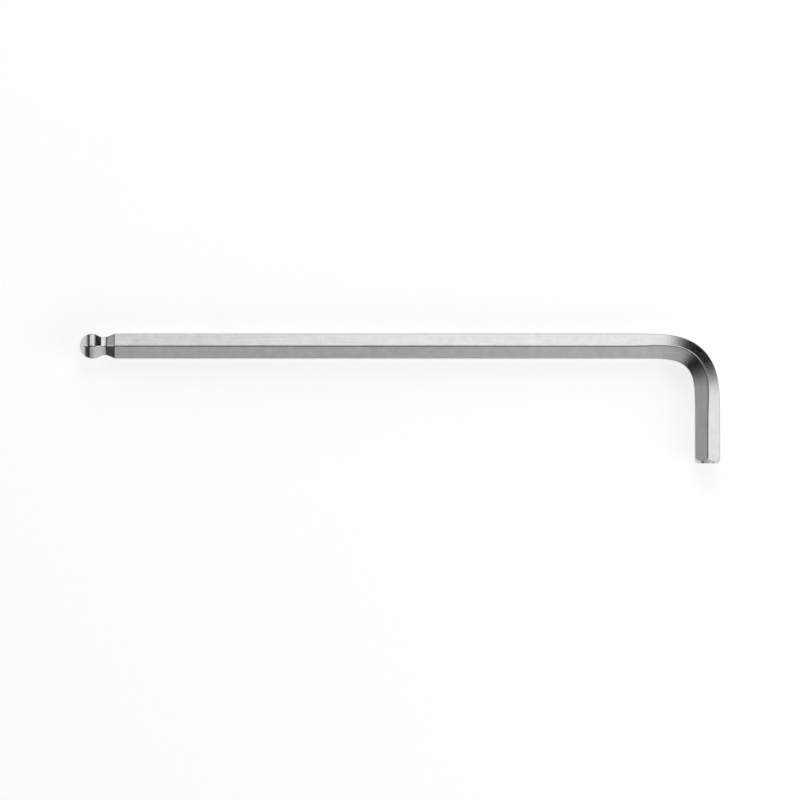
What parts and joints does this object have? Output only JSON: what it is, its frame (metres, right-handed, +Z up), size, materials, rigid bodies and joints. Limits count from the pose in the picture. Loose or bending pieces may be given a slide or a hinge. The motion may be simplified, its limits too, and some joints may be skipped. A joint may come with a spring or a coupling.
{
  "type": "hex key",
  "caption": "L-shaped hexagonal steel bar with a ball-shaped driving end on its long arm and a plain chamfered driving end on its short arm.",
  "frame": {"origin": "middle of the bounding box in X and Y, on the surface that the key lies on", "axes": "+X along the long arm from its ball to the bend, -Y from the long arm toward the short arm's end, +Z up from the surface that the key lies on"},
  "size_m": [0.202, 0.041, 0.0091],
  "materials": {
    "plated_steel": "satin chrome plating over drawn steel, with fine lines along the bar"
  },
  "bodies": {
    "root": {"hex_key": "plated_steel"}
  },
  "joints": []
}
